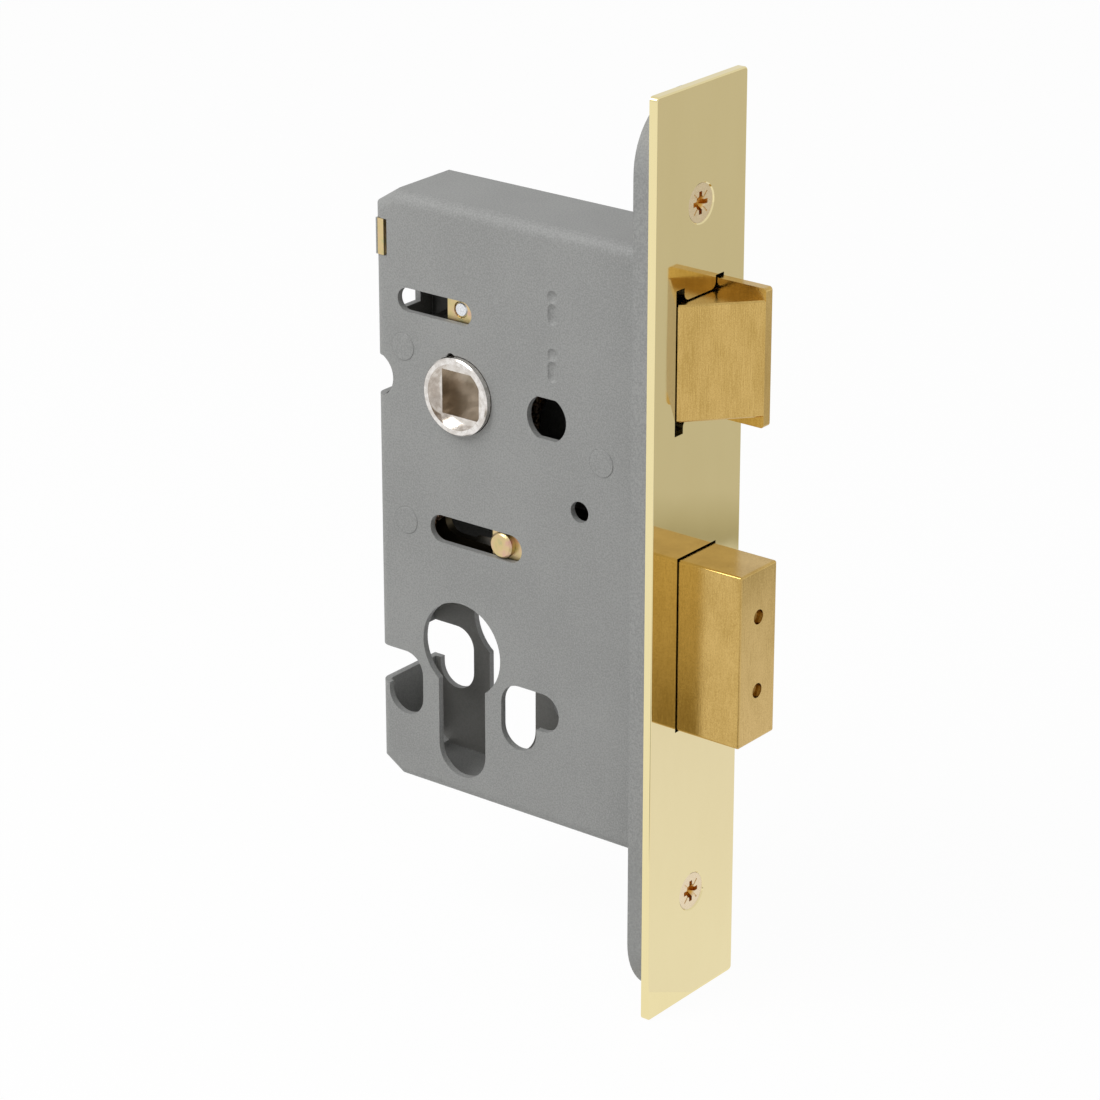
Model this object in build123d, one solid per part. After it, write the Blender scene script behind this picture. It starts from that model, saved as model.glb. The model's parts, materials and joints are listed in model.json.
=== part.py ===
"""Mortise sash lock for a euro profile cylinder, one STEP file for each piece.

Millimetres. The origin is the centre of the cylinder hole at mid thickness. +X points out of
the forend, +Z is up, and -Y is the side of the case that carries the rolled flanges.
"""
from build123d import *
import math
import os

os.makedirs("parts", exist_ok=True)

# ---- driving dimensions: the case -------------------------------------------------------
backset = 45.0              # forend face back to the cylinder and spindle axes
case_depth = 64.0           # forend face back to the rear of the case
case_thickness = 15.6
wall = 1.2                  # sheet of the case body and the cover
bend_radius = 2.4           # outside radius of the rolled flanges
spindle_height = 47.5       # spindle above the cylinder
case_rise = 34.0            # top of the case above the spindle
case_drop = 28.7            # bottom of the case below the cylinder
corner_cut_depth = 4.4      # cut across each rear corner, along X
corner_cut_height = 2.8     # the same cut, along Z
corner_relief = 0.5         # gap left between two flanges at a rear corner
front_tab_width = 8.0       # tabs of the case that are riveted into the inner forend
tab_fit = 0.05

# ---- the two forends --------------------------------------------------------------------
forend_width = 25.0
forend_thickness = 1.5
forend_rise = 61.5          # top of the outer forend above the spindle
forend_drop = 57.0          # bottom of the outer forend below the cylinder
forend_corner = 0.8
forend_edge = 0.25
inner_forend_thickness = 3.3
inner_forend_width = 24.4
inner_forend_inset = 1.5    # the inner forend is this much shorter at each end
screw_end_distance = 20.4   # machine screw back from each end of the outer forend
fixing_spacing = 9.5        # wood screw hole outside each machine screw
fixing_radius = 2.25
fixing_head_radius = 4.2
cylinder_screw_drop = 20.2  # cylinder fixing screw below the cylinder axis
cylinder_screw_radius = 2.7

# ---- machine screws ---------------------------------------------------------------------
screw_radius = 2.0
screw_head_radius = 3.55
screw_length = 4.5
screw_sink = 0.2            # flat of the head below the face of the forend
screw_fit = 0.03
recess_reach = 1.95         # half length of the cross recess
recess_width = 0.8
recess_depth = 1.0
recess_core_radius = 1.25   # round middle of the recess, at the face
recess_floor_radius = 0.5
recess_core_depth = 1.3
tick_width = 0.28           # marks between the arms of the recess
tick_reach = 2.5
tick_depth = 0.14

# ---- holes through both walls -----------------------------------------------------------
cylinder_radius = 8.7
cylinder_slot = 10.5        # width of the lower part of the cylinder hole
cylinder_hole_height = 33.4
bolt_through_pitch = 19.0   # bolt-through hole and rear notch from the spindle
bolt_through_radius = 4.2
bolt_through_flat = 3.7     # half height between the flats
rose_bore = 3.9             # upright part of the stepped hole beside the cylinder
rose_bore_at = 12.8
rose_bore_top = -3.6
rose_bore_height = 12.2
rose_lobe = 3.6             # part of the stepped hole that runs sideways
rose_lobe_reach = 21.7
rose_rear_reach = 22.0      # the rear one runs out through the rear of the case
pilot_radius = 1.9
pilot_at = (26.1, spindle_height - 15.2)    # X and Z of the small round hole
dimple_at = 20.3
dimple_radius = 1.15
dimple_depth = 0.5
dimple_rows = (6.9, -3.3)   # round dimple of each pair, above the latch axis
dimple_slot_gap = 3.1       # round dimple down to the centre of the long one
dimple_slot_half_width = 1.06
dimple_slot_length = 3.8

# ---- posts ------------------------------------------------------------------------------
post_radius = 3.2
post_neck_radius = 2.5
post_fit = 0.03
post_edge = 0.12
post_proud = 0.12           # riveted end above the wall
front_post_at = (30.7, spindle_height - 5.3)
rear_post_at = (-12.5, spindle_height + 6.3)
lever_post_at = (-12.2, 21.6)

# ---- latch ------------------------------------------------------------------------------
latch_above_spindle = 15.0
latch_throw = 10.0
latch_half_width = 6.4
latch_block_height = 20.4
latch_plate_thickness = 1.8
latch_plate_height = 24.4
latch_body_rear = 30.0      # X of the rear of the block, latch out
latch_fit = 0.25
latch_edge = 0.3
latch_corner = 0.6
latch_nose = 0.5            # bevel at the tip of the block
latch_lip = 0.2             # straight stretch of the block in front of the forend
latch_neck_radius = 2.2
latch_neck_length = 1.6     # beyond the carriage's web
latch_button_radius = 3.2
latch_button_thickness = 1.9
latch_opening_corner = 1.2  # rounding where the slots for the side plates begin
latch_slot_radius = 2.15    # slot in each wall beside the latch carriage
latch_slot_rear = -11.35
latch_slot_front = 0.68
pin_radius = 1.5
pin_edge = 0.4
pin_at = -0.7               # X of the drive pin, latch out
carriage_fit = 0.3          # side plates to the walls of the case
carriage_plate = 1.2
carriage_half_height = 4.0
carriage_rear = -3.6
carriage_web = 1.2
carriage_web_half_height = 7.0
carriage_web_gap = 0.15
carriage_lug_at = 14.0
carriage_lug_top = 13.6     # above the latch axis
carriage_lug_lap = 0.8      # lug overlaps the side plates by this much

# ---- latch spring -----------------------------------------------------------------------
bracket_thickness = 1.6
bracket_half_height = 4.8
bracket_tab_height = 6.5
bracket_tab_thickness = 1.3
bracket_tab_gap = 0.7       # left between a tab and the front of its window
bracket_tab_reach = 2.8     # how far a tab comes in from the outside of the case
bulge_thickness = 0.34      # of the bend behind the tab, pushed out level with the side
bulge_depth = 1.6
spring_above_latch = 10.3
spring_rod_radius = 1.9
spring_rod_length = 14.5
spigot_length = 3.2
coil_gap = 0.05             # a spring's end turn to the face that it presses on
latch_spring_radius = 2.75
latch_spring_wire = 0.4
latch_spring_turns = 11

# ---- follower ---------------------------------------------------------------------------
hub_radius = 7.0
hub_proud = 1.3
hub_fit = 0.10
hub_chamfer = 0.25
spindle_square = 8.1
hub_recess_radius = 5.95
hub_recess_depth = 1.6
follower_half_thickness = 2.0
arm_gap = 0.1               # arm to drive pin, latch out
arm_reach = 19.3
arm_width = 4.3
arm_tip_width = 2.8
arm_taper_from = 15.8       # the arm narrows above this height over the hub
rest_lug_reach = 13.6
rest_lug_gap = 0.3
rest_lug_drop = 4.0         # root of the rest lug below the hub's axis
rest_lug_bevel = 1.0
hub_nick_radius = 1.0
hub_nick_at = (-1.8, 6.35)  # centre of the nick from the hub's axis, X and Z
tail_window_width = 7.0     # window in the rear flange behind the latch
tail_window_height = 9.0
follower_spring_radius = 8.6
follower_spring_wire = 0.5
follower_spring_turns = 2.4
follower_spring_pitch = 1.1
follower_spring_gap = 0.3   # between the arm's face and the first turn
follower_spring_leg = 7.0

# ---- deadbolt ---------------------------------------------------------------------------
deadbolt_throw = 13.0
deadbolt_centre = 11.7      # above the cylinder
deadbolt_height = 31.4
deadbolt_thickness = 10.4
deadbolt_length = 21.0
deadbolt_fit = 0.3
deadbolt_edge = 0.45
hard_pin_radius = 1.3
hard_pin_length = 11.0
hard_pin_edge = 0.4
hard_pin_recess = 0.9
hard_pin_spacing = 13.5
hard_pin_centre = 12.0
tail_half_thickness = 1.5
tail_bottom = 9.5
tail_top = 28.4
tail_rear = -3.0
tongue_length = 8.0
tongue_bottom = 11.0
tongue_top = 24.0
talon_rear = 2.0            # notch that the cylinder's cam enters
talon_width = 9.0
talon_top = 15.9
fork_gap = 0.3              # fork of the tail to the lever post
tail_rivet_radius = 1.0
tail_rivet_setback = 1.8    # rivets in front of the rear of the head
tail_rivet_heights = (14.0, 21.0)
stump_radius = 2.35
stump_at = (8.8, 21.9)      # X and Z, deadbolt out
stump_fit = 0.2
stump_edge = 0.35
stump_slot_overrun = 2.25   # the slot runs on in front of the stump
cheek_thickness = 1.2       # side plate beside the head and the stump
cheek_rear = 6.1
cheek_bottom = 17.6
cheek_top = 25.4
cheek_gap = 0.2             # cheek to the inner forend, deadbolt out

# ---- detent lever -----------------------------------------------------------------------
lever_lift = 10.0           # degrees between dropped and lifted by the cam
lever_near = -3.4
lever_far = -1.8
lever_eye_radius = 5.2
lever_eye_fit = 0.06
lever_window_fit = 0.4
lever_nose = 2.8            # metal round the window: in front
lever_crown = 3.1           # above
lever_belly = 4.1           # lower edge above the cylinder's barrel
lever_belly_rear = 13.0     # where the lower edge turns up towards the eye
lever_bevel = 2.0
lever_spring_radius = 4.0
lever_spring_wire = 0.35
lever_spring_turns = 2.2
lever_spring_pitch = 0.9
lever_spring_gap = 0.15
lever_spring_leg = (4.5, 4.2)

# ---- places worked out from the sizes above ---------------------------------------------
fit = 0.02                  # a part pressed or riveted into its hole
half_case = case_thickness / 2
half_inside = half_case - wall
case_rear = backset - case_depth
outer_back = backset - forend_thickness
case_front = outer_back - inner_forend_thickness
case_top = spindle_height + case_rise
case_bottom = -case_drop
forend_top = spindle_height + forend_rise
forend_length = forend_top + forend_drop
forend_centre = forend_top - forend_length / 2
screw_pitch = forend_length - 2 * screw_end_distance
screw_heights = [forend_centre + side * screw_pitch / 2 for side in (1, -1)]
fixing_heights = [forend_centre + side * (screw_pitch / 2 + fixing_spacing) for side in (1, -1)]
latch_z = spindle_height + latch_above_spindle
carriage_outer = half_inside - carriage_fit
bracket_front = case_rear + wall + bracket_thickness
bracket_tab_front = case_rear + wall + bracket_tab_thickness
spring_z = latch_z + spring_above_latch
deadbolt_front = backset + deadbolt_throw
deadbolt_rear = deadbolt_front - deadbolt_length
latch_foot = latch_z - latch_plate_height / 2
deadbolt_crown = deadbolt_centre + deadbolt_height / 2
side_tab_heights = ((latch_foot + deadbolt_crown) / 2, -cylinder_screw_drop)


# ---- helpers ----------------------------------------------------------------------------
def block(x0, x1, y0, y1, z0, z1):
    return Pos((x0 + x1) / 2, (y0 + y1) / 2, (z0 + z1) / 2) * Box(x1 - x0, y1 - y0, z1 - z0)


def across(radius, centre, y0, y1):
    """A round bar along Y, at centre = (x, z)."""
    return Pos(centre[0], (y0 + y1) / 2, centre[1]) * Rot(90, 0, 0) * Cylinder(radius, y1 - y0)


def along(radius, y, z, x0, x1):
    """A round bar along X."""
    return Pos((x0 + x1) / 2, y, z) * Rot(0, 90, 0) * Cylinder(radius, x1 - x0)


def plate(outline, y0, y1):
    """A sheet between y0 and y1; the outline's corners are (x, z)."""
    return Pos(0, y1, 0) * extrude(Plane.XZ * make_face(Polyline(*outline, close=True)), y1 - y0)


def capsule(start, end, radius, y0, y1):
    """A bar along Y with two round ends, at start and end = (x, z)."""
    run_x, run_z = end[0] - start[0], end[1] - start[1]
    length = math.hypot(run_x, run_z)
    middle = Pos((start[0] + end[0]) / 2, (y0 + y1) / 2, (start[1] + end[1]) / 2)
    turned = middle * Rot(0, -math.degrees(math.atan2(run_z, run_x)), 0)
    return (turned * Box(length, y1 - y0, 2 * radius)
            + across(radius, start, y0, y1) + across(radius, end, y0, y1))


def coil(radius, wire, pitch, turns):
    """Round wire wound about +Z, its first turn starting at Z 0."""
    path = Helix(pitch, pitch * turns, radius)
    section = Plane(origin=path @ 0, z_dir=path % 0) * Circle(wire)
    return sweep(section, path=path)


def wire_leg(start, end, wire):
    """A straight length of spring wire between two points."""
    run = Vector(*end) - Vector(*start)
    return extrude(Plane(origin=start, z_dir=run) * Circle(wire), run.length)


def save(shape, name):
    shape.label = name
    export_step(shape, f"parts/{name}.step")


# ---- the case ---------------------------------------------------------------------------
def case_outline(inset, front):
    """Corners of the case's side, drawn in by inset, with both rear corners cut."""
    rear, top, bottom = case_rear + inset, case_top - inset, case_bottom + inset
    shortening = inset * (corner_cut_height + corner_cut_depth
                          - math.hypot(corner_cut_depth, corner_cut_height))
    cut_x = corner_cut_depth - shortening / corner_cut_height
    cut_z = corner_cut_height - shortening / corner_cut_depth
    return [(front, bottom), (rear + cut_x, bottom), (rear, bottom + cut_z),
            (rear, top - cut_z), (rear + cut_x, top), (front, top)]


def euro_hole():
    """The cylinder's keyhole shape, through both walls."""
    reach = half_case + 1
    foot = (0, cylinder_radius - cylinder_hole_height + cylinder_slot / 2)
    return (across(cylinder_radius, (0, 0), -reach, reach)
            + capsule((0, 0), foot, cylinder_slot / 2, -reach, reach))


def bolt_through_hole(side):
    reach = half_case + 1
    centre = (side * bolt_through_pitch, spindle_height)
    band = block(centre[0] - bolt_through_radius, centre[0] + bolt_through_radius, -reach, reach,
                 centre[1] - bolt_through_flat, centre[1] + bolt_through_flat)
    return across(bolt_through_radius, centre, -reach, reach) & band


def rose_hole(side, reach_x):
    """The stepped hole beside the cylinder; the rear one is its mirror image."""
    reach = half_case + 1
    upper = rose_bore_top - rose_bore
    lower = rose_bore_top - rose_bore_height + rose_bore
    lobe_z = rose_bore_top - rose_lobe
    return (capsule((side * rose_bore_at, upper), (side * rose_bore_at, lower), rose_bore, -reach, reach)
            + capsule((side * rose_bore_at, lobe_z), (side * (reach_x - rose_lobe), lobe_z),
                      rose_lobe, -reach, reach))


def wall_holes():
    """Everything that is punched through the case body and the cover alike."""
    reach = half_case + 1
    holes = [euro_hole(), bolt_through_hole(1), bolt_through_hole(-1),
             rose_hole(1, rose_lobe_reach), rose_hole(-1, rose_rear_reach + rose_lobe)]
    holes.append(across(hub_radius + hub_fit, (0, spindle_height), -reach, reach))
    holes.append(across(pilot_radius, pilot_at, -reach, reach))
    holes.append(capsule((latch_slot_rear, latch_z), (latch_slot_front, latch_z),
                         latch_slot_radius, -reach, reach))
    holes.append(capsule((stump_at[0] - deadbolt_throw, stump_at[1]),
                         (stump_at[0] + stump_slot_overrun, stump_at[1]),
                         stump_radius + stump_fit, -reach, reach))
    return holes


def post_holes():
    reach = half_case + 1
    return [across(post_neck_radius + post_fit, centre, -reach, reach)
            for centre in (front_post_at, rear_post_at, lever_post_at)]


def hub_nick():
    """The small nick at the top of the spindle hole."""
    reach = half_case + 1
    return across(hub_nick_radius, (hub_nick_at[0], spindle_height + hub_nick_at[1]), -reach, reach)


def bracket_windows():
    """Windows near the rear edge of each side, for the tabs of the spring bracket."""
    half = bracket_tab_height / 2 + tab_fit
    inner = half_case - bracket_tab_reach - tab_fit
    rear, front = case_rear + wall - tab_fit, bracket_tab_front + bracket_tab_gap
    return [block(rear, front, y0, y1, spring_z - half, spring_z + half)
            for y0, y1 in ((-half_case - 1, -inner), (inner, half_case + 1))]


def bend_bulge():
    """The bend of the case behind the bracket's tab, pushed out level with the side."""
    half = bracket_tab_height / 2
    front = case_rear + wall - tab_fit
    return block(front - bulge_thickness, front, -half_case, bulge_depth - half_case,
                 spring_z - half, spring_z + half)


def tail_window():
    half_y, half_z = tail_window_width / 2, tail_window_height / 2
    return block(case_rear - 1, case_rear + wall + 1, -half_y, half_y, latch_z - half_z, latch_z + half_z)


def front_tab(y0, y1, z0, z1):
    return block(case_front - wall, outer_back - tab_fit, y0, y1, z0, z1)


def flange_tabs():
    half = front_tab_width / 2
    return [front_tab(-half, half, case_top - wall, case_top),
            front_tab(-half, half, case_bottom, case_bottom + wall)]


def side_tabs(y0, y1):
    half = front_tab_width / 2
    return [front_tab(y0, y1, height - half, height + half) for height in side_tab_heights]


def make_case_body():
    """A tray: one side wall with the top, rear and bottom flanges rolled from it."""
    outside = plate(case_outline(0, case_front), -half_case, half_inside)
    near = outside.edges().filter_by_position(Axis.Y, -half_case - 0.01, -half_case + 0.01)
    rolled = near.filter_by(lambda edge: edge.center().X < case_front - 0.01)
    outside = fillet(rolled, bend_radius)
    inside = plate(case_outline(wall, case_front + 1), -half_inside, half_case)
    near = inside.edges().filter_by_position(Axis.Y, -half_inside - 0.01, -half_inside + 0.01)
    rolled = near.filter_by(lambda edge: edge.center().X < case_front - 0.01)
    tray = outside - fillet(rolled, bend_radius - wall)
    for z0, z1 in ((case_top - corner_cut_height, case_top + 1),
                   (case_bottom - 1, case_bottom + corner_cut_height)):
        tray -= block(case_rear - 1, case_rear + corner_cut_depth - corner_relief,
                      bend_radius + corner_relief - half_case, half_case, z0, z1)
    for hole in wall_holes() + post_holes() + bracket_windows() + [hub_nick(), tail_window()]:
        tray -= hole
    for tab in [bend_bulge()] + flange_tabs() + side_tabs(-half_case, -half_inside):
        tray += tab
    return press_dimples(tray)


def cap_radius(half_width):
    """Radius of the punch that leaves a dimple of this half width."""
    return (half_width ** 2 + dimple_depth ** 2) / (2 * dimple_depth)


def press_dimples(tray):
    """Two pairs of shallow punch marks, one round and one long, in the side wall."""
    round_punch, long_punch = cap_radius(dimple_radius), cap_radius(dimple_slot_half_width)
    half_run = dimple_slot_length / 2 - dimple_slot_half_width
    floor = dimple_depth - half_case
    for row in dimple_rows:
        centre = latch_z + row
        long_centre = centre - dimple_slot_gap
        tray -= Pos(dimple_at, floor - round_punch, centre) * Sphere(round_punch)
        tray -= Pos(dimple_at, floor - long_punch, long_centre) * Cylinder(long_punch, 2 * half_run)
        for end in (-half_run, half_run):
            tray -= Pos(dimple_at, floor - long_punch, long_centre + end) * Sphere(long_punch)
    return tray


def make_case_cover():
    """The flat far wall, which closes the tray."""
    cover = plate(case_outline(0, case_front), half_inside, half_case)
    for hole in wall_holes() + post_holes() + bracket_windows() + [hub_nick()]:
        cover -= hole
    for tab in side_tabs(half_inside, half_case):
        cover += tab
    return cover


def make_post(centre):
    """A shouldered post between the walls, riveted nearly flush into both of them."""
    reach = half_case + post_proud
    neck = across(post_neck_radius, centre, -reach, reach)
    neck = chamfer(neck.edges().filter_by(GeomType.CIRCLE), post_edge)
    return across(post_radius, centre, -half_inside, half_inside) + neck


# ---- the forends ------------------------------------------------------------------------
def latch_aperture():
    """An opening like a capital I, so that the latch also fits the other way round."""
    half = latch_half_width + latch_fit
    slot = latch_plate_thickness + 2 * latch_fit
    tall = latch_plate_height / 2 + 2 * latch_fit
    low = latch_block_height / 2 + latch_fit
    face = Rectangle(2 * half, 2 * low)
    for side in (-1, 1):
        face += Pos(side * (half - slot / 2), 0) * Rectangle(slot, 2 * tall)
    inner = [corner for corner in face.vertices()
             if abs(corner.X) < half - slot / 2 and abs(corner.Y) < (low + tall) / 2]
    face = fillet(inner, latch_opening_corner)
    return Pos(case_front - 1, 0, latch_z) * extrude(Plane.YZ * face, backset + 2 - case_front)


def deadbolt_aperture():
    half_y = deadbolt_thickness / 2 + deadbolt_fit
    half_z = deadbolt_height / 2 + deadbolt_fit
    return block(case_front - 1, backset + 1, -half_y, half_y,
                 deadbolt_centre - half_z, deadbolt_centre + half_z)


def make_outer_forend():
    face = RectangleRounded(forend_width, forend_length, forend_corner)
    strip = Pos(outer_back, 0, forend_centre) * extrude(Plane.YZ * face, forend_thickness)
    strip = fillet(strip.faces().sort_by(Axis.X)[-1].edges(), forend_edge)
    strip -= latch_aperture() + deadbolt_aperture()
    for height in screw_heights:
        strip -= along(screw_radius + screw_fit, 0, height, outer_back - 1, backset + 1)
        strip -= screw_cone(height, screw_fit)
    return strip


def screw_cone(height, clearance):
    """The countersunk head's cone, flush with the face of the outer forend."""
    depth = screw_head_radius - screw_radius
    cone = Cone(screw_radius + clearance, screw_head_radius + clearance, depth)
    return Pos(backset - depth / 2, 0, height) * Rot(0, 90, 0) * cone


def make_inner_forend():
    length = forend_length - 2 * inner_forend_inset
    face = Rot(0, 0, 90) * SlotOverall(length, inner_forend_width)
    strip = Pos(case_front, 0, forend_centre) * extrude(Plane.YZ * face, inner_forend_thickness)
    strip -= latch_aperture() + deadbolt_aperture()
    for height in screw_heights:
        strip -= along(screw_radius + screw_fit, 0, height, case_front - 1, backset)
        strip -= screw_cone(height, screw_fit)
    sink = fixing_head_radius - fixing_radius
    for height in fixing_heights:
        strip -= along(fixing_radius, 0, height, case_front - 1, backset)
        cone = Cone(fixing_radius, fixing_head_radius, sink)
        strip -= Pos(outer_back - sink / 2, 0, height) * Rot(0, 90, 0) * cone
    strip -= along(cylinder_screw_radius, 0, -cylinder_screw_drop, case_front - 1, backset)
    tabs = flange_tabs() + side_tabs(-half_case, -half_inside) + side_tabs(half_inside, half_case)
    for tab in tabs:
        box = tab.bounding_box()
        strip -= block(case_front - 1, backset, box.min.Y - tab_fit, box.max.Y + tab_fit,
                       box.min.Z - tab_fit, box.max.Z + tab_fit)
    return strip


def make_forend_screw(height):
    """A short countersunk machine screw with a cross recess."""
    face = backset - screw_sink
    head = screw_head_radius - screw_radius
    screw = screw_cone(height, 0) + along(screw_radius, 0, height, face - screw_length, backset - head)
    screw -= along(screw_head_radius + 1, 0, height, face, backset + 1)
    for turn in (0, 90):
        arm = Box(recess_depth * 2, recess_width, recess_reach * 2)
        screw -= Pos(face, 0, height) * Rot(turn, 0, 0) * arm
    core = Cone(recess_floor_radius, recess_core_radius, recess_core_depth)
    screw -= Pos(face - recess_core_depth / 2, 0, height) * Rot(0, 90, 0) * core
    for turn in (45, 135):
        screw -= Pos(face, 0, height) * Rot(turn, 0, 0) * Box(tick_depth * 2, tick_width, tick_reach * 2)
    return screw


# ---- the latch --------------------------------------------------------------------------
def make_latch_head():
    """The bevelled bolt: a wedge block with a taller flat plate along its straight side."""
    face, tip = backset, backset + latch_throw
    half = latch_half_width
    inner = half - latch_plate_thickness
    wedge = [(latch_body_rear, -half), (face + latch_lip, -half), (tip - latch_nose, inner - latch_nose),
             (tip, inner), (tip, half), (latch_body_rear, half)]
    section = Plane.XY * make_face(Polyline(*wedge, close=True))
    body = Pos(0, 0, latch_z - latch_block_height / 2) * extrude(section, latch_block_height)
    ends = body.faces().filter_by(Axis.Z)
    sharp = [edge for end in ends for edge in end.edges()
             if edge.center().Y < inner - latch_nose / 4 and edge.center().X > latch_body_rear + 0.1]
    body = chamfer(sharp, latch_edge)
    half_plate = latch_plate_height / 2
    side = block(latch_body_rear, tip, inner, half, latch_z - half_plate, latch_z + half_plate)
    body += fillet(side.edges().filter_by(Axis.Y).sort_by(Axis.X)[-2:], latch_corner)
    button_front = latch_button_front()
    body += along(latch_neck_radius, 0, latch_z, button_front - 0.1, latch_body_rear)
    return body + along(latch_button_radius, 0, latch_z, button_front - latch_button_thickness, button_front)


def latch_button_front():
    return latch_body_rear - 2 * carriage_web_gap - carriage_web - latch_neck_length


def make_latch_carriage():
    """A U of sheet that hooks the latch head in front and carries the drive pin behind."""
    web_rear = latch_button_front() + carriage_web_gap
    web_front = web_rear + carriage_web
    outer = carriage_outer
    low, high = latch_z - carriage_half_height, latch_z + carriage_half_height
    body = block(web_rear, web_front, -outer, outer,
                 latch_z - carriage_web_half_height, latch_z + carriage_web_half_height)
    for y0 in (-outer, outer - carriage_plate):
        body += block(carriage_rear, web_front, y0, y0 + carriage_plate, low, high)
    body += block(carriage_lug_at, carriage_lug_at + carriage_web, -outer, outer,
                  high - carriage_lug_lap, latch_z + carriage_lug_top)
    slot = latch_neck_radius + carriage_web_gap
    body -= capsule_x(web_rear - 1, web_front + 1, slot, latch_z, latch_z + carriage_web_half_height + slot)
    body -= across(pin_radius + fit, (pin_at, latch_z), -half_case, half_case)
    return body - along(spring_rod_radius + fit, 0, spring_z,
                        carriage_lug_at - 1, carriage_lug_at + carriage_web + 1)


def make_drive_pin():
    pin = across(pin_radius, (pin_at, latch_z), -carriage_outer, carriage_outer)
    return chamfer(pin.edges().filter_by(GeomType.CIRCLE), pin_edge)


def capsule_x(x0, x1, radius, z0, z1):
    """A slot along X that starts round at z0 and runs up to z1."""
    return along(radius, 0, z0, x0, x1) + block(x0, x1, -radius, radius, z0, z1)


def make_spring_bracket():
    """The plate behind the latch spring, held by a tab in each side of the case."""
    half_y = half_inside - tab_fit
    plate_rear = case_rear + wall
    bracket = block(plate_rear, bracket_front, -half_y, half_y,
                    spring_z - bracket_half_height, spring_z + bracket_half_height)
    upright = bracket.edges().filter_by(Axis.Z)
    corner = upright.sort_by(lambda edge: edge.center().X + edge.center().Y)[0]
    bracket = chamfer(corner, bend_radius - wall)
    low, high = spring_z - bracket_tab_height / 2, spring_z + bracket_tab_height / 2
    inner = half_case - bracket_tab_reach
    for y0, y1 in ((-half_case, -inner), (inner, half_case)):
        bracket += block(plate_rear, bracket_tab_front, y0, y1, low, high)
    return bracket + along(spring_rod_radius, 0, spring_z, bracket_front - 0.1, bracket_front + spigot_length)


def make_spring_rod():
    front = carriage_lug_at + carriage_web
    return along(spring_rod_radius, 0, spring_z, front - spring_rod_length, front)


def make_latch_spring():
    length = carriage_lug_at - bracket_front - 2 * (latch_spring_wire + coil_gap)
    pitch = length / latch_spring_turns
    wound = coil(latch_spring_radius, latch_spring_wire, pitch, latch_spring_turns)
    return Pos(bracket_front + latch_spring_wire + coil_gap, 0, spring_z) * Rot(0, 90, 0) * wound


# ---- the follower -----------------------------------------------------------------------
def make_follower():
    """The hub with its square hole, the arm that draws the latch, and the lug that stops it."""
    reach = half_case + hub_proud
    hub = across(hub_radius, (0, spindle_height), -reach, reach)
    hub = chamfer(hub.edges(), hub_chamfer)
    face = pin_at + pin_radius + arm_gap
    root = spindle_height
    arm = [(face, root), (face, root + arm_reach), (face + arm_tip_width, root + arm_reach),
           (face + arm_width, root + arm_taper_from), (face + arm_width, root)]
    lug_top = rear_post_at[1] - post_radius - rest_lug_gap
    lug = [(0, root - rest_lug_drop), (rest_lug_bevel - rest_lug_reach, root - rest_lug_bevel),
           (-rest_lug_reach, root), (-rest_lug_reach, lug_top), (0, lug_top)]
    follower = hub + plate(arm, -follower_half_thickness, follower_half_thickness)
    follower += plate(lug, -follower_half_thickness, follower_half_thickness)
    half = spindle_square / 2
    for y0, y1 in ((-reach, hub_recess_depth - reach), (reach - hub_recess_depth, reach)):
        follower -= across(hub_recess_radius, (0, spindle_height), y0, y1)
    return follower - block(-half, half, -reach - 1, reach + 1, root - half, root + half)


def make_follower_spring(side):
    """One torsion spring on the hub, beside the arm."""
    start = follower_half_thickness + follower_spring_gap + follower_spring_wire
    wound = coil(follower_spring_radius, follower_spring_wire,
                 follower_spring_pitch, follower_spring_turns)
    placed = Pos(0, side * start, spindle_height) * Rot(-90 * side, 0, 0) * wound
    leg_y = side * start
    return placed + wire_leg((follower_spring_radius, leg_y, spindle_height),
                             (follower_spring_radius, leg_y, spindle_height - side * follower_spring_leg),
                             follower_spring_wire)


# ---- the deadbolt -----------------------------------------------------------------------
def make_deadbolt_head():
    half_y, half_z = deadbolt_thickness / 2, deadbolt_height / 2
    head = block(deadbolt_rear, deadbolt_front, -half_y, half_y,
                 deadbolt_centre - half_z, deadbolt_centre + half_z)
    front = head.faces().sort_by(Axis.X)[-1]
    head = fillet(list(front.edges()) + list(head.edges().filter_by(Axis.X)), deadbolt_edge)
    head -= block(deadbolt_rear - 1, deadbolt_rear + tongue_length + fit, -tail_half_thickness - fit,
                  tail_half_thickness + fit, tongue_bottom - fit, tongue_top + fit)
    for height in hard_pin_heights():
        head -= along(hard_pin_radius + fit, 0, height,
                      hard_pin_front() - hard_pin_length, deadbolt_front + 1)
    for height in tail_rivet_heights:
        head -= across(tail_rivet_radius + fit, (tail_rivet_x(), height), -half_y - 1, half_y + 1)
    return head


def hard_pin_heights():
    return [hard_pin_centre + side * hard_pin_spacing / 2 for side in (1, -1)]


def hard_pin_front():
    return deadbolt_front - hard_pin_recess


def tail_rivet_x():
    return deadbolt_rear + tail_rivet_setback


def make_hard_pin(height):
    pin = along(hard_pin_radius, 0, height, hard_pin_front() - hard_pin_length, hard_pin_front())
    return chamfer(pin.edges().sort_by(Axis.X)[-1], hard_pin_edge)


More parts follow.
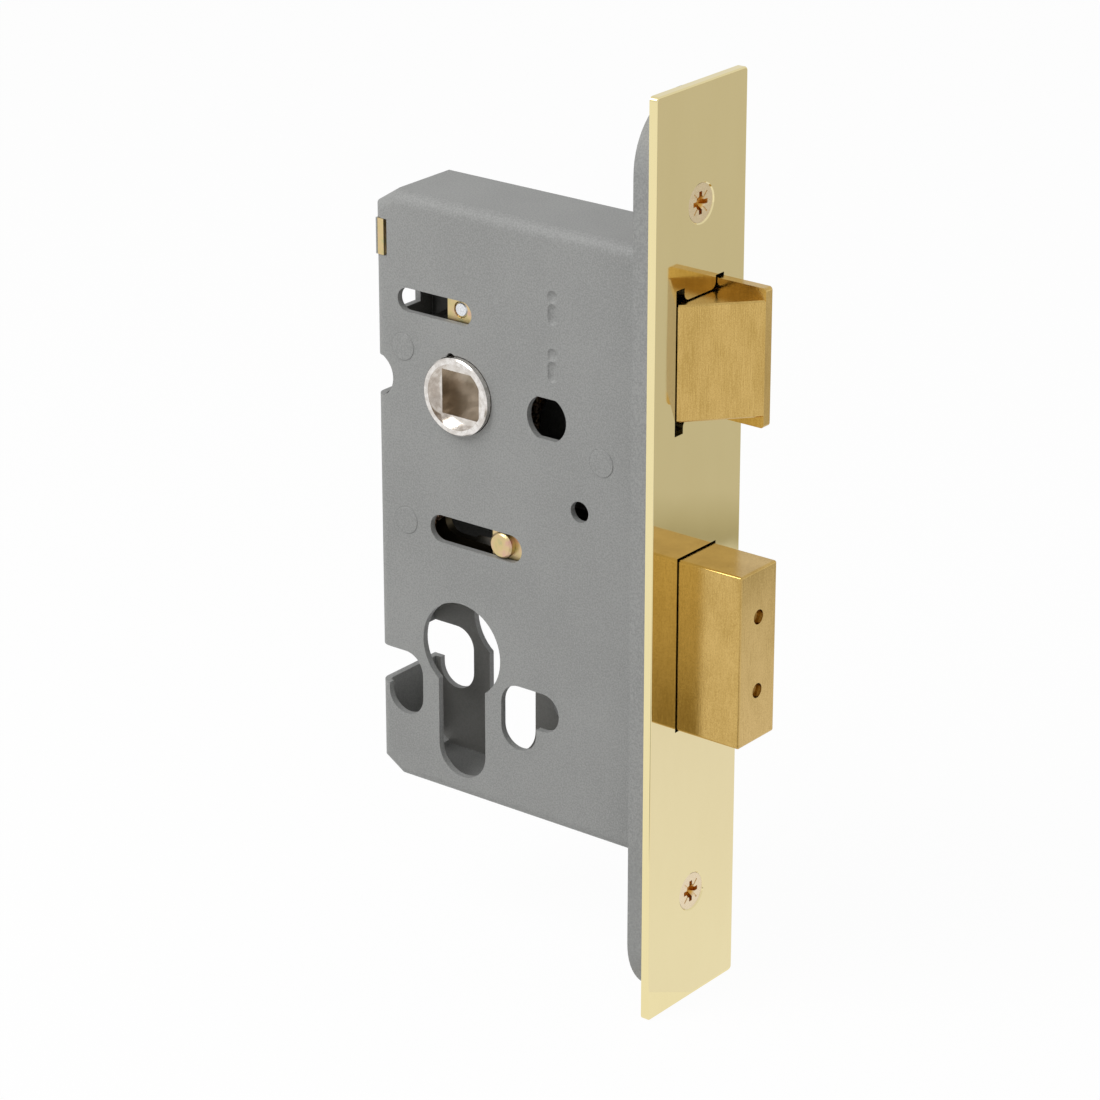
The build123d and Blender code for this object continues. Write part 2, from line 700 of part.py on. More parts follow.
def make_deadbolt_tail():
    """The steel tail: a tongue in the head, the talon for the cam, a fork round the lever post."""
    half = tail_half_thickness
    tail = block(tail_rear, deadbolt_rear, -half, half, tail_bottom, tail_top)
    tail += block(deadbolt_rear - 0.1, deadbolt_rear + tongue_length, -half, half,
                  tongue_bottom, tongue_top)
    tail -= block(talon_rear, talon_rear + talon_width, -half - 1, half + 1, tail_bottom - 1, talon_top)
    gap = post_radius + fork_gap
    fork_end = (lever_post_at[0] + deadbolt_throw, lever_post_at[1])
    tail -= capsule((tail_rear - gap, lever_post_at[1]), fork_end, gap, -half - 1, half + 1)
    tail -= across(stump_radius + fit, stump_at, -half - 1, half + 1)
    for height in tail_rivet_heights:
        tail -= across(tail_rivet_radius + fit, (tail_rivet_x(), height), -half - 1, half + 1)
    return tail


def make_cheek():
    """The plate on the near side of the head and the tail, held by the rivets and the stump."""
    y1 = -deadbolt_thickness / 2
    y0 = y1 - cheek_thickness
    cheek = block(cheek_rear, case_front - cheek_gap, y0, y1, cheek_bottom, cheek_top)
    cheek -= across(stump_radius + fit, stump_at, y0 - 1, y1 + 1)
    return cheek - across(tail_rivet_radius + fit, (tail_rivet_x(), tail_rivet_heights[1]), y0 - 1, y1 + 1)


def make_tail_rivet(height):
    half = deadbolt_thickness / 2
    near = half + (cheek_thickness if cheek_bottom < height < cheek_top else 0)
    return across(tail_rivet_radius, (tail_rivet_x(), height), -near, half)


def make_stump():
    pin = across(stump_radius, stump_at, -half_case, half_case)
    return chamfer(pin.edges(), stump_edge)


# ---- the detent lever -------------------------------------------------------------------
def about_post(shape, degrees):
    """Turns a shape about the lever post; a positive angle lifts what lies in front of it."""
    x, z = lever_post_at
    return Pos(x, 0, z) * Rot(0, -degrees, 0) * Pos(-x, 0, -z) * shape


def lifted_place(x, z):
    """Where a fixed point lies on the lever, once the lever is lifted."""
    angle = math.radians(-lever_lift)
    run_x, run_z = x - lever_post_at[0], z - lever_post_at[1]
    return (lever_post_at[0] + run_x * math.cos(angle) - run_z * math.sin(angle),
            lever_post_at[1] + run_x * math.sin(angle) + run_z * math.cos(angle))


def make_detent_lever():
    """The lever with a window of two pockets and a gate; it is shown lifted."""
    y0, y1 = lever_near, lever_far
    eye_x, eye_z = lever_post_at
    stump_out, stump_in = stump_at, (stump_at[0] - deadbolt_throw, stump_at[1])
    nose = stump_at[0] + stump_radius + lever_window_fit + lever_nose
    belly = cylinder_radius + lever_belly
    crown = stump_at[1] + stump_radius + lever_crown
    outline = [(eye_x, eye_z + lever_eye_radius), (nose - lever_bevel, crown), (nose, crown - lever_bevel),
               (nose, belly + lever_bevel), (nose - lever_bevel, belly), (eye_x + lever_belly_rear, belly),
               (eye_x, eye_z - lever_eye_radius)]
    lever = plate(outline, y0, y1) + across(lever_eye_radius, lever_post_at, y0, y1)
    gate = stump_radius + lever_window_fit
    path = [stump_out, lifted_place(*stump_out), lifted_place(*stump_in), stump_in]
    for start, end in zip(path, path[1:]):
        lever -= capsule(start, end, gate, y0 - 1, y1 + 1)
    lever -= across(post_radius + lever_eye_fit, lever_post_at, y0 - 1, y1 + 1)
    return about_post(lever, lever_lift)


def make_lever_spring():
    """A torsion spring on the lever post that pushes the lever down."""
    eye_x, eye_z = lever_post_at
    first = lever_near - lever_spring_wire - lever_spring_gap
    leg_x, leg_z = lever_spring_leg
    wound = coil(lever_spring_radius, lever_spring_wire, lever_spring_pitch, lever_spring_turns)
    spring = Pos(eye_x, first, eye_z) * Rot(90, 0, 0) * wound
    spring += wire_leg((eye_x + lever_spring_radius, first, eye_z),
                       (eye_x + lever_spring_radius + leg_x, first, eye_z + leg_z), lever_spring_wire)
    return spring


# ---- build ------------------------------------------------------------------------------
save(make_outer_forend(), "outer_forend")
save(make_inner_forend(), "inner_forend")
save(Compound(children=[make_forend_screw(height) for height in screw_heights]), "forend_screws")
save(make_case_body(), "case_body")
save(make_case_cover(), "case_cover")
save(Compound(children=[make_post(centre) for centre in (front_post_at, rear_post_at)]), "case_posts")
save(make_post(lever_post_at), "lever_post")
save(make_spring_bracket(), "spring_bracket")
save(make_latch_head(), "latch_head")
save(make_latch_carriage(), "latch_carriage")
save(make_drive_pin(), "latch_drive_pin")
save(make_spring_rod(), "latch_spring_rod")
save(make_latch_spring(), "latch_spring")
save(make_follower(), "follower")
save(Compound(children=[make_follower_spring(side) for side in (-1, 1)]), "follower_springs")
save(make_deadbolt_head(), "deadbolt_head")
save(Compound(children=[make_hard_pin(height) for height in hard_pin_heights()]), "hardened_pins")
save(make_deadbolt_tail(), "deadbolt_tail")
save(Compound(children=[make_tail_rivet(height) for height in tail_rivet_heights]), "tail_rivets")
save(make_cheek(), "deadbolt_cheek")
save(make_stump(), "deadbolt_stump")
save(make_detent_lever(), "detent_lever")
save(make_lever_spring(), "lever_spring")
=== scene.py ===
# %% [markdown]
# # A mortise sash lock, and how its metals are finished
#
# The lock is a flat grey steel case with a brass faceplate, the forend. A bevelled latch and a
# square bolt stand out of the forend. Every piece already has its true shape and place in the
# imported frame, so this lesson is about the other half of the job: the finish of each metal, the
# table it stands over, the light and the camera.

import json
import math

import bpy
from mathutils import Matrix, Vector


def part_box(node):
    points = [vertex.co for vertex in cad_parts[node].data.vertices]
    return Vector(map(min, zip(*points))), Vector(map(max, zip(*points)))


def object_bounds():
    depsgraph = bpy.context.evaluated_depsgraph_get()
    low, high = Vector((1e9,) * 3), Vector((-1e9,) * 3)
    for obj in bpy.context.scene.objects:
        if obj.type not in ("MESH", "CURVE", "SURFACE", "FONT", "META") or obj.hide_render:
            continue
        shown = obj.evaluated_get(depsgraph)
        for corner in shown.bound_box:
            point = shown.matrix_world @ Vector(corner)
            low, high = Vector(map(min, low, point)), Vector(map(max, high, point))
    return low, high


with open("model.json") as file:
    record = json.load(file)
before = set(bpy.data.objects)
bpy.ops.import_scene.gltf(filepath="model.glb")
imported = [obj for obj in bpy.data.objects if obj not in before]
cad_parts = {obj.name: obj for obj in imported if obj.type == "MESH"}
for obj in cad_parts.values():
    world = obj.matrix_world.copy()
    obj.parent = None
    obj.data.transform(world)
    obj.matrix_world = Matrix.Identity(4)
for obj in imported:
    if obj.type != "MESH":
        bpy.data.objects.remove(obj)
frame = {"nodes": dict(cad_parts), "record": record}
nodes = frame["nodes"]
slot_of = {part["node"]: part["material_slot"] for part in frame["record"]["subparts"]}
cad_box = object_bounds()
print(len(nodes), "nodes,", len(set(slot_of.values())), "finishes")

# %% [markdown]
# ## Lengths that everything else is placed by
#
# Blender works in metres, and a lock is measured in millimetres, so `mm` turns one into the other.
# The places of the lamp, the table and the camera could be typed in, but then each of them would
# have to be moved by hand if a size changed. So they are worked out from the box of the whole lock
# and from the boxes of single pieces.

# %% Measure the frame
mm = 0.001
low, high = cad_box
middle = (low + high) / 2
height = high.z - low.z
_, forend_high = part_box("outer_forend")
case_low, case_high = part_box("case_body")
_, hub_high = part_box("follower")
print("lock", [round(side / mm, 1) for side in high - low], "mm")

# %% [markdown]
# ## Shader maths that reads like maths
#
# A finish is a little network of nodes. Wiring each Math node by hand hides what is being worked
# out, so a `Wire` holds the output of a node and knows how to be added, taken away and multiplied:
# `1 - mask * 0.3` builds the nodes it needs. Anything that isn't plain arithmetic comes from one
# method, `Finish.node`, which takes the kind of node, its settings and the values of its sockets.


# %% A wire
class Wire:
    """The output of a shader node. Arithmetic on it adds Math nodes."""

    def __init__(self, finish, socket):
        self.finish = finish
        self.socket = socket

    def maths(self, operation, first, second):
        return self.finish.node("ShaderNodeMath", {"operation": operation}, {0: first, 1: second})

    def __add__(self, other):
        return self.maths("ADD", self, other)

    def __sub__(self, other):
        return self.maths("SUBTRACT", self, other)

    def __rsub__(self, other):
        return self.maths("SUBTRACT", other, self)

    def __mul__(self, other):
        return self.maths("MULTIPLY", self, other)

    def __abs__(self):
        return self.finish.node("ShaderNodeMath", {"operation": "ABSOLUTE"}, {0: self})

    def least(self, other):
        return self.maths("MINIMUM", self, other)

    __radd__ = __add__
    __rmul__ = __mul__


print("a Wire can be added, taken away and multiplied")


# %% A finish
def opaque(colour):
    """Gives a plain colour its fourth number; a wire has it already."""
    return (*colour, 1.0) if isinstance(colour, tuple) else colour


def set_stops(ramp, stops):
    """Gives a colour ramp its stops, each a place from 0 to 1 and a colour."""
    while len(ramp.elements) > len(stops):
        ramp.elements.remove(ramp.elements[-1])
    while len(ramp.elements) < len(stops):
        ramp.elements.new(1.0)
    for element, (place, colour) in zip(ramp.elements, stops):
        element.position = place
        element.color = opaque(colour)


class Finish:
    """A material, or a world, under construction."""

    def __init__(self, name, library=bpy.data.materials):
        self.material = library.new(name)
        self.material.use_nodes = True
        self.tree = self.material.node_tree
        self.tree.nodes.clear()

    def node(self, kind, settings=None, sockets=None, output=0):
        """Adds one node: its settings first, then the value or the wire of each socket."""
        made = self.tree.nodes.new(kind)
        for name, value in (settings or {}).items():
            if name == "stops":
                set_stops(made.color_ramp, value)
            else:
                setattr(made, name, value)
        for name, value in (sockets or {}).items():
            if isinstance(value, Wire):
                self.tree.links.new(value.socket, made.inputs[name])
            else:
                made.inputs[name].default_value = value
        return Wire(self, made.outputs[output]) if made.outputs else None

    def shine(self, **sockets):
        """The last two nodes: the surface shader and the output."""
        named = {name.replace("_", " "): value for name, value in sockets.items()}
        surface = self.node("ShaderNodeBsdfPrincipled", sockets=named)
        self.node("ShaderNodeOutputMaterial", sockets={"Surface": surface})
        return self.material

    def place(self):
        """Where the shaded point is, as three wires in millimetres."""
        point = self.node("ShaderNodeTexCoord", output="Object")
        point = self.node("ShaderNodeVectorMath", {"operation": "SCALE"},
                          {"Vector": point, "Scale": 1 / mm})
        return [self.node("ShaderNodeSeparateXYZ", sockets={"Vector": point}, output=axis)
                for axis in "XYZ"]


finish_of = {}     # material slot to finish, filled in as each finish is made
print("a Finish makes its nodes, its surface and its output")

# %% [markdown]
# ## Grain, in millimetres
#
# Every mark on the metal has a real size: a speck in the grey paint is a third of a millimetre, and
# a scratch is a tenth wide and centimetres long. The pieces carry object coordinates in metres, so
# the helpers below stretch them to millimetres first. A grain is then a noise whose size says how
# long its marks are along X, Y and Z. An image would do too, but it has seams and a fixed size.


# %% Grain helpers
def grain(finish, size, detail=2.0, shift=0.0):
    """Noise with marks of about that size in millimetres: one number, or one each for X, Y and Z."""
    sizes = size if isinstance(size, tuple) else (size, size, size)
    per_metre = tuple(1.0 / (side * mm) for side in sizes)
    place = finish.node("ShaderNodeTexCoord", output="Object")
    stretched = finish.node("ShaderNodeVectorMath", {"operation": "MULTIPLY_ADD"},
                            {0: place, 1: per_metre, 2: (shift, shift, shift)})
    return finish.node("ShaderNodeTexNoise", {"noise_dimensions": "3D"},
                       {"Vector": stretched, "Scale": 1.0, "Detail": detail})


def spread(finish, value, bottom, top, curve="SMOOTHSTEP"):
    """Turns the part of a value from bottom to top into 0 to 1."""
    return finish.node("ShaderNodeMapRange", {"interpolation_type": curve},
                       {"Value": value, "From Min": bottom, "From Max": top})


def contrast(finish, noise, reach):
    """Noise stays near a half, so what lies within reach of it is spread over 0 to 1."""
    return spread(finish, noise, 0.5 - reach, 0.5 + reach)


def step(finish, value, start, end):
    """Goes smoothly from 0 at start to 1 at end, whichever is the larger."""
    if start > end:
        return 1.0 - step(finish, value, end, start)
    return spread(finish, value, start, end)


def blend(finish, factor, first, second):
    """Mixes two colours."""
    return finish.node("ShaderNodeMix", {"data_type": "RGBA"},
                       {"Factor": factor, "A": opaque(first), "B": opaque(second)}, output="Result")


def relief(finish, heights, depth):
    """Raises and lowers the surface by up to depth millimetres."""
    return finish.node("ShaderNodeBump", sockets={"Height": heights, "Distance": depth * mm},
                       output="Normal")


print("grain, spread, contrast, step, blend and relief are ready")

# %% [markdown]
# ## How deep a point lies in the case
#
# The inside of the case is another matter than its outside: little light gets in, and it is
# darkest round the latch. That shade is painted into the colour. It could be a material of its
# own on the inner faces, but then the edges of the holes would change colour at a seam. So one sum
# works out how far a point lies inside the folded steel, from the case's own box, and the paint can
# turn to painted shade there.

# %% Depth in the case
sheet = 1.35                # steel of the case, with a little to spare
case_inside = 6.72          # half the width between the walls, likewise
corner_slope = 2.8 / 4.4    # of the cuts at the two rear corners
corner_height = 2.2         # of the same cuts, inside the steel


def depth_in_case(finish):
    """Millimetres inside the walls, the flanges and the two cut corners; negative outside."""
    x, y, z = finish.place()
    from_rear = x - (case_low.x / mm + sheet)
    from_top = (case_high.z / mm - sheet) - z
    from_foot = z - (case_low.z / mm + sheet)
    depth = (case_inside - abs(y)).least(from_rear).least(from_top).least(from_foot)
    for from_end in (from_top, from_foot):
        depth = depth.least(from_rear * corner_slope + from_end - corner_height)
    return depth


print("the steel is taken as", sheet, "mm thick")

# %% [markdown]
# ## Grey paint on folded steel
#
# The case is sheet steel, dipped in a thin matt grey paint. It is nearly flat in colour, but a
# close look shows a fine salt-and-pepper grain, soft clouds where the coat is thicker, and a
# faintly greener grey. One noise would look like sand, so two of them mix here: a fine one that
# also dents the surface, and a broad one for the clouds. Inside, shade is painted into the
# colour: a soft painted shade round the cylinder hole, and a near black painted shade above it.


# %% Grey paint
def grey_paint():
    dark_grey, light_grey = (0.238, 0.241, 0.235), (0.312, 0.314, 0.306)
    # The second pair of colours is painted shade for the inside of the case: soft round the cylinder
    # hole, near black above it.
    soft_painted_shade, deep_painted_shade = (0.165, 0.160, 0.145), (0.020, 0.018, 0.013)
    soft_shade_below, deep_shade_above = 8.0, 16.0      # millimetres above the cylinder hole's centre
    paint_edge = 0.2                           # the paint ends over this depth

    finish = Finish("grey_paint")
    specks = grain(finish, 0.28, detail=3.0)
    clouds = grain(finish, (14.0, 14.0, 18.0), shift=7.0)
    tone = contrast(finish, specks * 0.8 + clouds * 0.2, 0.16)
    _, _, z = finish.place()
    # Where a point lies inside the case, the grey paint turns to painted shade.
    painted_inner_shade = blend(finish, step(finish, z, soft_shade_below, deep_shade_above), soft_painted_shade, deep_painted_shade)
    inside = step(finish, depth_in_case(finish), 0.0, paint_edge)
    colour = blend(finish, inside, blend(finish, tone, dark_grey, light_grey), painted_inner_shade)
    return finish.shine(Base_Color=colour, Roughness=0.50 + 0.16 * specks,
                        Normal=relief(finish, specks, 0.035))


finish_of["grey_steel"] = grey_paint()
print("grey paint has", len(finish_of["grey_steel"].node_tree.nodes), "nodes")

# %% [markdown]
# ## Polished brass
#
# The outer forend is a strip of brass, polished and lacquered until it mirrors the latch and the
# bolt. A metal with no roughness would do that, but a perfect mirror looks like a computer made it.
# So the strip has three faults of a real one: a slow wave left by rolling, hair scratches along its
# length, and a roughness that varies a little.


# %% Polished brass
def polished_brass():
    deep_yellow, pale_yellow = (0.825, 0.71, 0.385), (0.86, 0.75, 0.42)

    finish = Finish("polished_brass")
    scratches = grain(finish, (0.10, 0.10, 22.0))
    wave = grain(finish, (40.0, 9.0, 16.0), detail=1.0, shift=3.0)
    haze = grain(finish, (6.0, 6.0, 20.0), detail=3.0, shift=11.0)
    colour = blend(finish, haze, deep_yellow, pale_yellow)
    rough = 0.02 + 0.05 * haze + 0.02 * scratches
    return finish.shine(Base_Color=colour, Metallic=1.0, Roughness=rough,
                        Normal=relief(finish, wave, 0.03))


finish_of["polished_brass"] = polished_brass()
print("polished brass has", len(finish_of["polished_brass"].node_tree.nodes), "nodes")

# %% [markdown]
# ## Linished brass
#
# The latch and the bolt are drawn brass bar, finished on a belt. The belt leaves fine upright
# lines, light where they catch a lamp, dark where dirt and oil stay. A plain brass with stretched
# highlights would give the gloss but no lines, so the lines are noise stretched along Z, used three
# times: it tints the colour, opens the roughness and cuts the surface. The end of the bolt is painted
# paler than its sides, a painted highlight, so the way that the surface faces picks the pair of
# tints.


# %% Linished brass
def linished_brass():
    side_dark, side_light = (0.46, 0.295, 0.080), (0.66, 0.450, 0.155)
    # The second pair of tints is a painted highlight for faces that look out of the forend.
    painted_highlight_dark, painted_highlight_light = (0.56, 0.385, 0.125), (0.76, 0.54, 0.210)
    nearly_out, straight_out = 0.8, 0.97       # X of the surface's normal; 1 faces out of the forend

    finish = Finish("linished_brass")
    lines = grain(finish, (0.13, 0.13, 3.5), detail=3.0)
    specks = grain(finish, (0.16, 0.16, 0.22), shift=5.0)
    stain = grain(finish, (4.0, 4.0, 9.0), shift=9.0)
    cut = lines * 0.45 + specks * 0.55
    tone = contrast(finish, cut * 0.75 + stain * 0.25, 0.16)
    facing = finish.node("ShaderNodeNewGeometry", output="Normal")
    outward = finish.node("ShaderNodeSeparateXYZ", sockets={"Vector": facing}, output="X")
    colour = blend(finish, step(finish, outward, nearly_out, straight_out),
                   blend(finish, tone, side_dark, side_light),
                   blend(finish, tone, painted_highlight_dark, painted_highlight_light))
    return finish.shine(Base_Color=colour, Metallic=1.0, Roughness=0.10 + 0.16 * cut,
                        Normal=relief(finish, cut, 0.014))


finish_of["satin_brass"] = linished_brass()
print("linished brass has", len(finish_of["satin_brass"].node_tree.nodes), "nodes")

# %% [markdown]
# ## Brass plated screws
#
# The two screws are plated, so they are paler than the forend. Deeper in the recess they are painted
# darker and more orange, as painted shade. The recess could have a material of its own, but its faces
# are too small to pick out by hand. How deep a point lies below the forend's face says it just as
# well.


# %% Brass plating
def brass_plating():
    # The third colour is painted shade for the recess.
    dull, bright, recess_shade = (0.80, 0.66, 0.42), (0.88, 0.77, 0.56), (0.66, 0.38, 0.09)
    shade_from, shade_to = 0.1, 0.7              # millimetres below the forend's face
    face = forend_high.x / mm

    finish = Finish("brass_plating")
    tarnish = grain(finish, 0.5, detail=3.0)
    x, _, _ = finish.place()
    # Below the forend's face the plating turns to the painted shade of the recess.
    colour = blend(finish, step(finish, x, face - shade_from, face - shade_to),
                   blend(finish, tarnish, dull, bright), recess_shade)
    return finish.shine(Base_Color=colour, Metallic=1.0, Roughness=0.2 + 0.2 * tarnish,
                        Normal=relief(finish, tarnish, 0.015))


finish_of["brass_screw"] = brass_plating()
print("brass plating has", len(finish_of["brass_screw"].node_tree.nodes), "nodes")

# %% [markdown]
# ## Yellow passivated steel
#
# Zinc plate is dipped in a chromate bath to keep it from rusting, which leaves a thin film. The
# film is straw yellow where it is even and turns pink or green where it is thicker, as oil does on
# water. A thin film can be worked out from its thickness, but a ramp of four colours over a noise is
# simpler and easier to steer. The pieces deep between the walls are painted near black, as painted
# shade, and only what lies close to a wall stays bright.


# %% Yellow passivate
def yellow_passivate():
    green, straw = (0.50, 0.47, 0.25), (0.66, 0.53, 0.26)
    amber, pink = (0.70, 0.52, 0.30), (0.68, 0.42, 0.33)
    # Near black painted shade for the pieces deep between the walls.
    deep_painted_shade = (0.075, 0.060, 0.035)
    bright_beyond, shaded_within = 5.0, 4.2    # millimetres from the middle of the case

    finish = Finish("yellow_passivate")
    mottle = grain(finish, 2.2, detail=3.0)
    pits = grain(finish, 0.3, shift=4.0)
    stops = [(0.30, green), (0.45, straw), (0.60, amber), (0.72, pink)]
    unshaded = finish.node("ShaderNodeValToRGB", {"stops": stops}, {"Fac": mottle}, output="Color")
    _, y, _ = finish.place()
    # Deep between the walls the film colours turn to painted shade.
    colour = blend(finish, step(finish, abs(y), bright_beyond, shaded_within), unshaded, deep_painted_shade)
    return finish.shine(Base_Color=colour, Metallic=1.0, Roughness=0.28 + 0.14 * pits,
                        Normal=relief(finish, pits, 0.02))


finish_of["yellow_zinc"] = yellow_passivate()
print("yellow passivate has", len(finish_of["yellow_zinc"].node_tree.nodes), "nodes")

# %% [markdown]
# ## Nickel, bright steel and spring wire
#
# The hub is cast, then nickel plated, so it is bright but slightly dented, and deep in its square
# hole it is painted a mottled dark brown, as painted shade. The drive pin and the spring rod are
# ground steel, the pins in the bolt are hardened and darker, and the springs are oiled wire, brown
# and dark. Four sets of nodes would repeat each other, and the metals differ only in a few numbers,
# so one function makes them all. The hub hands it one more function, which lays that painted shade
# over the unshaded metal.


# %% Bare metals
def bare_metal(name, dark, light, rough, mark, depth, painted_shade=None):
    """Metal between two colours, with marks of one size and depth in millimetres."""
    finish = Finish(name)
    dents = grain(finish, mark, detail=3.0)
    colour = blend(finish, contrast(finish, dents, 0.15), dark, light)
    if painted_shade:
        colour = painted_shade(finish, colour)
    return finish.shine(Base_Color=colour, Metallic=1.0, Roughness=rough + 0.12 * dents,
                        Normal=relief(finish, dents, depth))


def hub_painted_shade(finish, unshaded):
    """Painted shade, a mottled dark and light brown, below the ring that stands out of the case."""
    # Dark and light brown painted shade for deep in the square hole.
    deep_recess_shade, recess_shade = (0.40, 0.34, 0.27), (0.62, 0.55, 0.47)
    unshaded_to, shaded_from = 1.5, 1.8           # millimetres below the face of the ring
    ring_face = hub_high.y / mm

    mottle = contrast(finish, grain(finish, (4.0, 6.0, 4.0), detail=3.0, shift=2.0), 0.12)
    _, y, _ = finish.place()
    in_shade = step(finish, abs(y), ring_face - unshaded_to, ring_face - shaded_from)
    return blend(finish, in_shade, unshaded, blend(finish, mottle, deep_recess_shade, recess_shade))


# The hub gets painted shade deep in its square hole.
finish_of["nickel"] = bare_metal(
    "nickel", dark=(0.66, 0.62, 0.58), light=(0.84, 0.81, 0.78),
    rough=0.10, mark=1.3, depth=0.012, painted_shade=hub_painted_shade)
finish_of["bright_steel"] = bare_metal(
    "bright_steel", dark=(0.66, 0.67, 0.69), light=(0.86, 0.87, 0.89),
    rough=0.22, mark=0.3, depth=0.02)
finish_of["spring_steel"] = bare_metal(
    "spring_steel", dark=(0.12, 0.07, 0.05), light=(0.46, 0.33, 0.24),
    rough=0.24, mark=0.5, depth=0.02)
finish_of["hardened_steel"] = bare_metal(
    "hardened_steel", dark=(0.34, 0.23, 0.09), light=(0.52, 0.38, 0.18),
    rough=0.30, mark=0.3, depth=0.02)
print(len(finish_of), "finishes are made")

# %% [markdown]
# ## Giving each piece its finish
#
# The record names a material slot for every piece. Each finish could be given to its pieces by
# name, but a loop over the slots paints a new piece too, as soon as its slot is known.

# %% Paint the nodes
for name, piece in nodes.items():
    piece.data.materials.clear()
    piece.data.materials.append(finish_of[slot_of[name]])
print("painted", len(nodes), "pieces")

# %% [markdown]
# ## Where the camera will stand
#
# The camera itself comes last, but the card that the forend mirrors has to know where it stands.
# A place in metres says little, so two angles give it: how far round, and how high.


# %% Directions
def direction(azimuth, elevation):
    """From the lock towards something; azimuth 0 is towards -Y, 90 towards +X."""
    turn, rise = math.radians(azimuth), math.radians(elevation)
    level = math.cos(rise)
    return Vector((math.sin(turn) * level, -math.cos(turn) * level, math.sin(rise)))


toward_camera = direction(azimuth=37.93, elevation=21.98)
print("the camera looks along", [round(-side, 2) for side in toward_camera])

# %% [markdown]
# ## The table
#
# The lock stands over a white table. A plain white floor would be grey where the light falls off,
# and a glowing one would show no shadow. So the camera and the mirrors mostly see an even white,
# and the rest of it is ordinary white paint, which keeps the soft shadow under the lock.


# %% Table
def stage_plane(name, centre, half_across, half_deep, finish):
    """A flat rectangle that isn't part of the lock."""
    corners = [(x * half_across, y * half_deep, 0) for x, y in ((-1, -1), (1, -1), (1, 1), (-1, 1))]
    mesh = bpy.data.meshes.new(name)
    mesh.from_pydata(corners, [], [(0, 1, 2, 3)])
    mesh.materials.append(finish)
    plane = bpy.data.objects.new(name, mesh)
    plane.location = centre
    bpy.context.scene.collection.objects.link(plane)
    return plane


def table_white(evenness):
    """White paint that glows for the camera and for mirrors; evenness 1 hides the shadow."""
    finish = Finish("table_white")
    seen = finish.node("ShaderNodeLightPath", output="Is Camera Ray")
    mirrored = finish.node("ShaderNodeLightPath", output="Is Glossy Ray")
    paint = finish.node("ShaderNodeBsdfDiffuse", sockets={"Color": opaque((0.90, 0.90, 0.89))})
    glow = finish.node("ShaderNodeEmission", sockets={"Color": opaque((1, 1, 1)), "Strength": 1.0})
    mixed = finish.node("ShaderNodeMixShader",
                        sockets={0: (seen + mirrored) * evenness, 1: paint, 2: glow})
    finish.node("ShaderNodeOutputMaterial", sockets={"Surface": mixed})
    return finish.material


table_half = height * 20
stage_plane("table", (middle.x, middle.y, low.z), table_half, table_half,
            table_white(evenness=0.96))
print("table at", round(low.z / mm, 1), "mm")

# %% [markdown]
# ## The room and the lamp
#
# The light is even: a white room all round, and one large soft lamp high on the camera's left that
# gives the edges a direction. Lamps alone could do it, but polished metal would then mirror the
# dark between them. The room is full white to the camera, half as bright on matt surfaces, and in
# between in mirrors.


# %% Room and lamp
def white_room(diffuse, mirrored):
    """White all round: full to the camera, and as bright as asked for in shade and in mirrors."""
    room = Finish("white_room", bpy.data.worlds)
    seen = room.node("ShaderNodeLightPath", output="Is Camera Ray")
    glossy = room.node("ShaderNodeLightPath", output="Is Glossy Ray")
    strength = diffuse + seen * (1.0 - diffuse) + glossy * (mirrored - diffuse)
    light = room.node("ShaderNodeBackground",
                      sockets={"Color": opaque((1, 1, 1)), "Strength": strength})
    room.node("ShaderNodeOutputWorld", sockets={"Surface": light})
    bpy.context.scene.world = room.material


def soft_lamp(name, azimuth, elevation, distance, size, watts):
    """A square lamp that looks at the middle of the lock."""
    light = bpy.data.lights.new(name, "AREA")
    light.size = size
    light.energy = watts
    lamp = bpy.data.objects.new(name, light)
    away = direction(azimuth, elevation)
    lamp.location = middle + away * distance
    lamp.rotation_euler = away.to_track_quat("Z", "Y").to_euler()
    bpy.context.scene.collection.objects.link(lamp)


white_room(diffuse=0.50, mirrored=0.85)
soft_lamp("key", azimuth=-25, elevation=50, distance=height * 4, size=height * 2.5, watts=2.7)
print("one room and one lamp")

# %% [markdown]
# ## Two cards for the brass to mirror
#
# Polished metal is only as interesting as what it mirrors. A card lies on the table, from the foot
# of the forend away to the far side. It is white near the forend and grey from a sharp line
# outwards, so the forend shows white below and grey above. A small dark card in front does the same
# for the rear of the bolt, which mirrors the forend, which mirrors the card. Painting the bands on
# the brass would be quicker, but they would stay put when the lock or the camera moves. Only mirror
# rays see the cards, so they shade nothing.


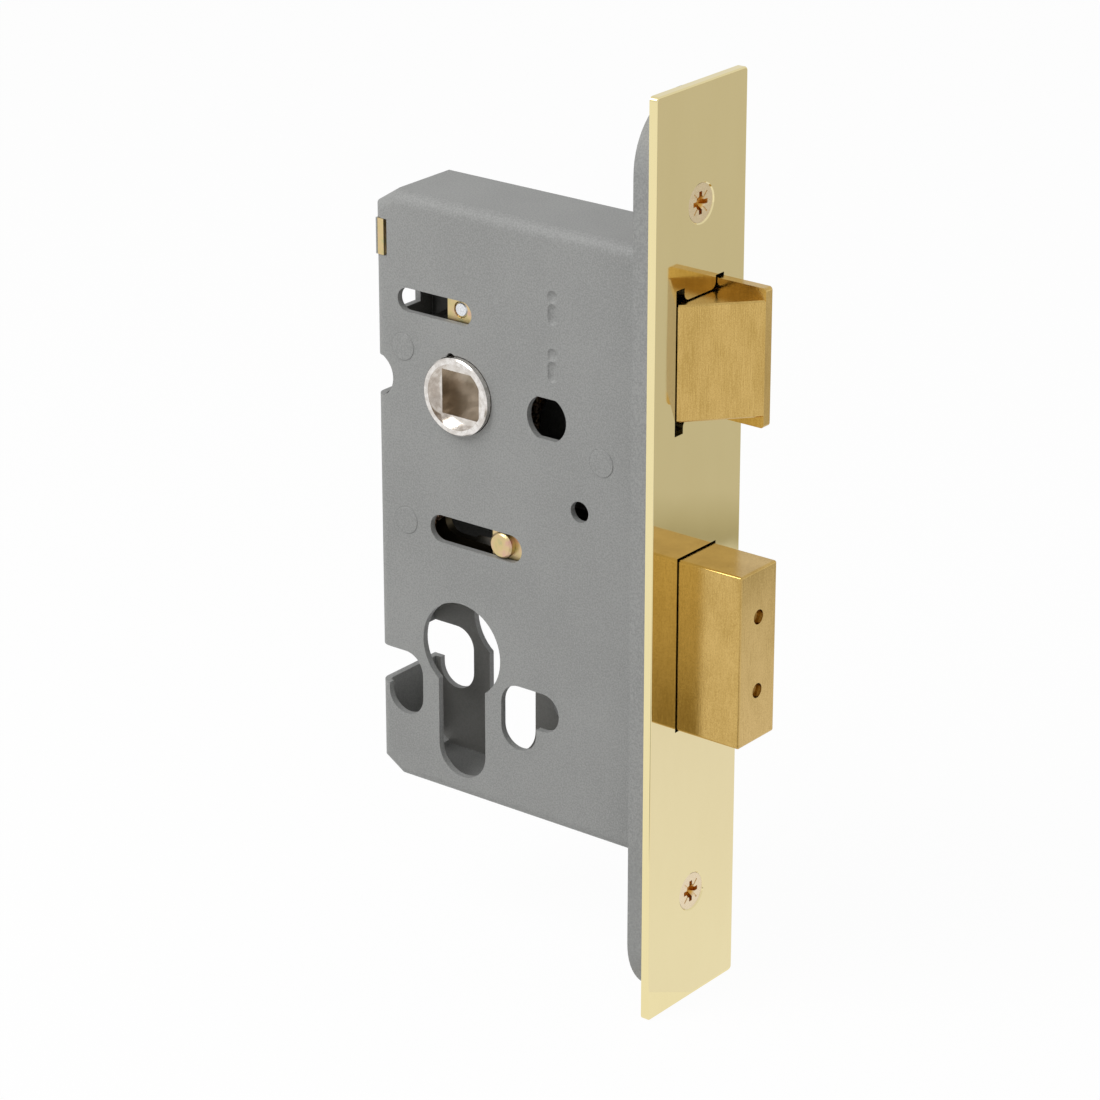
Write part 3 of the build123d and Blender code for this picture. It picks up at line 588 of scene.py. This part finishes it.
# %% Mirror cards
def mirror_card(name, start, heading, reach, half_across, shades):
    """A glowing card on the table that only mirrors see.

    It runs from start towards heading. Shades are pairs of a distance in millimetres and a colour."""
    finish = Finish(name)
    _, along, _ = finish.place()
    waver = 12.0        # how far the bands waver, in millimetres
    ripple = grain(finish, (16.0, 60.0, 16.0), detail=1.0)
    half_reach = reach / mm / 2
    run = spread(finish, along + waver * ripple, waver / 2 - half_reach, waver / 2 + half_reach,
                 curve="LINEAR")
    stops = [(distance * mm / reach, shade) for distance, shade in shades]
    glow = finish.node("ShaderNodeValToRGB", {"stops": stops}, {"Fac": run}, output="Color")
    light = finish.node("ShaderNodeEmission", sockets={"Color": glow, "Strength": 1.0})
    finish.node("ShaderNodeOutputMaterial", sockets={"Surface": light})
    card = stage_plane(name, start + heading * reach / 2, half_across, reach / 2, finish.material)
    card.rotation_euler.z = math.atan2(heading.y, heading.x) - math.pi / 2
    card.visible_camera = card.visible_diffuse = card.visible_shadow = False
    card.visible_transmission = card.visible_volume_scatter = False


card_lift = 0.5 * mm        # clear of the table
foot = Vector((forend_high.x, middle.y, low.z + card_lift))
behind = Vector((toward_camera.x, -toward_camera.y, 0)).normalized()
in_front = Vector((toward_camera.x, toward_camera.y, 0)).normalized()
mirror_card("grey_card", foot, behind, reach=900 * mm, half_across=260 * mm, shades=[
    (20, (0.93, 0.93, 0.97)), (107, (0.88, 0.87, 0.92)), (209, (0.71, 0.70, 0.68)),
    (214, (0.42, 0.39, 0.30)), (224, (0.50, 0.47, 0.38)), (245, (0.62, 0.595, 0.54)),
    (900, (0.66, 0.63, 0.59))])
dark_start = foot + in_front * 70 * mm
mirror_card("dark_card", dark_start, in_front, reach=180 * mm, half_across=45 * mm, shades=[
    (0, (0.80, 0.80, 0.80)), (30, (0.42, 0.40, 0.36)), (60, (0.48, 0.46, 0.42)),
    (120, (0.90, 0.88, 0.86)), (180, (0.95, 0.95, 0.95))])
print("two cards")

# %% [markdown]
# ## The camera
#
# A wide lens close by would make the lock lean and taper. A long lens keeps the upright edges
# nearly parallel, as in a catalogue picture. The camera stands in front of the case's side, swung
# round towards the forend, and looks a little down.

# %% Camera
camera_distance = 699.6 * mm
aim = middle + Vector((-2.7, -4.0, -4.1)) * mm
lens = bpy.data.cameras.new("camera")
lens.sensor_width = 36.0
lens.lens = 132.8
lens.clip_start = 50 * mm
camera = bpy.data.objects.new("camera", lens)
camera.location = aim + toward_camera * camera_distance
camera.rotation_euler = toward_camera.to_track_quat("Z", "Y").to_euler()
bpy.context.scene.collection.objects.link(camera)
bpy.context.scene.camera = camera
bpy.context.scene.view_settings.view_transform = "Standard"
print("camera at", [round(side / mm) for side in camera.location], "mm")
